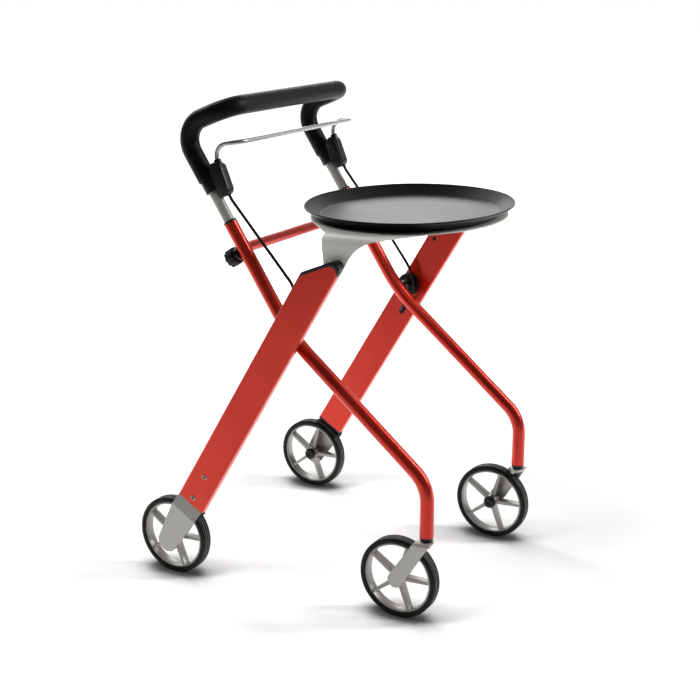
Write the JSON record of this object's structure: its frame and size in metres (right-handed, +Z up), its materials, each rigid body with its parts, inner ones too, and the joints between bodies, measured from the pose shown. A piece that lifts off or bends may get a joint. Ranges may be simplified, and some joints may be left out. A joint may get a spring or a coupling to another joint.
{
  "type": "indoor walker with tray",
  "caption": "Wheeled indoor walker: bent round tubes crossed by flat legs, sliding U handle with squeeze brake bar, lift-off oval tray on a sheet carrier, swivel front casters.",
  "frame": {"origin": "on the floor under the middle of the whole walker's box", "axes": "+X the way it travels, +Y its left side, +Z up"},
  "size_m": [0.623, 0.54, 0.898],
  "materials": {
    "red_aluminium": "satin metallic lacquer",
    "silver_aluminium": "brushed, anodised",
    "carrier_sheet": "pale gray satin",
    "cast_aluminium": "gray satin paint",
    "tyre_rubber": "matt",
    "grip_foam": "matt foam",
    "tray_plastic": "satin",
    "black_rubber": "matt",
    "black_plastic": "satin",
    "steel": "polished"
  },
  "bodies": {
    "tube_frame": {"tube_left": "red_aluminium", "tube_right": "red_aluminium", "cross_tube": "red_aluminium", "tube_bushes": "black_plastic", "stem_sleeves": "black_plastic", "pivot_bolts": "steel", "pivot_spacers": "black_plastic", "cable_left": "black_rubber", "cable_right": "black_rubber"},
    "leg_frame": {"leg_left": "red_aluminium", "leg_right": "red_aluminium", "leg_caps": "black_plastic", "leg_rivets": "steel", "leg_grommets": "black_plastic", "rear_fork_left": "cast_aluminium", "rear_fork_right": "cast_aluminium", "rear_axle_left": "steel", "rear_axle_right": "steel", "carrier": "carrier_sheet", "carrier_bolts": "steel"},
    "tray": {"tray": "tray_plastic"},
    "handle": {"handle_tube": "silver_aluminium", "foam_grip": "grip_foam", "brake_pod_left": "black_plastic", "brake_pod_right": "black_plastic", "pod_covers": "black_plastic", "pod_screws": "steel", "pod_ferrules": "black_plastic"},
    "brake_bar": {"brake_bar": "steel"},
    "shoe_left": {"shoe_left": "black_rubber"},
    "shoe_right": {"shoe_right": "black_rubber"},
    "knob_left": {"knob_left": "black_plastic", "knob_stud_left": "steel"},
    "knob_right": {"knob_right": "black_plastic", "knob_stud_right": "steel"},
    "caster_left": {"caster_fork_left": "cast_aluminium", "caster_post_left": "steel", "front_axle_left": "steel"},
    "caster_right": {"caster_fork_right": "cast_aluminium", "caster_post_right": "steel", "front_axle_right": "steel"},
    "wheel_rear_left": {"tyre_rear_left": "tyre_rubber", "rim_rear_left": "cast_aluminium", "bearings_rear_left": "steel", "hub_cap_rear_left": "black_plastic"},
    "wheel_rear_right": {"tyre_rear_right": "tyre_rubber", "rim_rear_right": "cast_aluminium", "bearings_rear_right": "steel", "hub_cap_rear_right": "black_plastic"},
    "wheel_front_left": {"tyre_front_left": "tyre_rubber", "rim_front_left": "cast_aluminium", "bearings_front_left": "steel", "hub_cap_front_left": "black_plastic"},
    "wheel_front_right": {"tyre_front_right": "tyre_rubber", "rim_front_right": "cast_aluminium", "bearings_front_right": "steel", "hub_cap_front_right": "black_plastic"}
  },
  "joints": [
    {"name": "fold", "type": "hinge", "parent": "tube_frame", "child": "leg_frame", "pos_m": [0.00052, 0, 0.48829], "axis": [0, -1, 0], "range_deg": [0, 36], "deforming": ["cable_left", "cable_right"]},
    {"name": "tray_lift", "type": "slide", "parent": "leg_frame", "child": "tray", "axis": [0, 0, 1], "range_m": [0, 0.06]},
    {"name": "handle_height", "type": "slide", "parent": "tube_frame", "child": "handle", "axis": [-0.5446, 0, 0.8387], "range_m": [-0.03, 0.06]},
    {"name": "brake_pull", "type": "slide", "parent": "handle", "child": "brake_bar", "axis": [-0.3746, 0, 0.9272], "range_m": [0, 0.012], "stiffness_N_per_m": 800, "springref_m": -0.01},
    {"name": "shoe_left", "type": "slide", "parent": "leg_frame", "child": "shoe_left", "axis": [-0.515, 0, -0.8572], "range_m": [0, 0.0017]},
    {"name": "shoe_right", "type": "slide", "parent": "leg_frame", "child": "shoe_right", "axis": [-0.515, 0, -0.8572], "range_m": [0, 0.0017]},
    {"name": "knob_left_turn", "type": "hinge", "parent": "tube_frame", "child": "knob_left", "pos_m": [-0.09683, 0.2, 0.63193], "axis": [-0.8387, 0, -0.5446], "range_deg": [0, 540]},
    {"name": "knob_right_turn", "type": "hinge", "parent": "tube_frame", "child": "knob_right", "pos_m": [-0.09683, -0.2, 0.63193], "axis": [-0.8387, 0, -0.5446], "range_deg": [0, 540]},
    {"name": "caster_left_swivel", "type": "hinge", "parent": "tube_frame", "child": "caster_left", "pos_m": [0.27154, 0.2, 0.1634], "axis": [0, 0, 1], "continuous": true},
    {"name": "caster_right_swivel", "type": "hinge", "parent": "tube_frame", "child": "caster_right", "pos_m": [0.27154, -0.2, 0.1634], "axis": [0, 0, 1], "continuous": true},
    {"name": "wheel_rear_left_roll", "type": "hinge", "parent": "leg_frame", "child": "wheel_rear_left", "pos_m": [-0.23646, 0.251, 0.075], "axis": [0, 1, 0], "continuous": true},
    {"name": "wheel_rear_right_roll", "type": "hinge", "parent": "leg_frame", "child": "wheel_rear_right", "pos_m": [-0.23646, -0.251, 0.075], "axis": [0, 1, 0], "continuous": true},
    {"name": "wheel_front_left_roll", "type": "hinge", "parent": "caster_left", "child": "wheel_front_left", "pos_m": [0.21954, 0.2, 0.075], "axis": [0, 1, 0], "continuous": true},
    {"name": "wheel_front_right_roll", "type": "hinge", "parent": "caster_right", "child": "wheel_front_right", "pos_m": [0.21954, -0.2, 0.075], "axis": [0, 1, 0], "continuous": true}
  ],
  "couplings": [
    {"joint": "shoe_left", "follows": "brake_pull", "ratio": 0.14},
    {"joint": "shoe_right", "follows": "brake_pull", "ratio": 0.14}
  ]
}
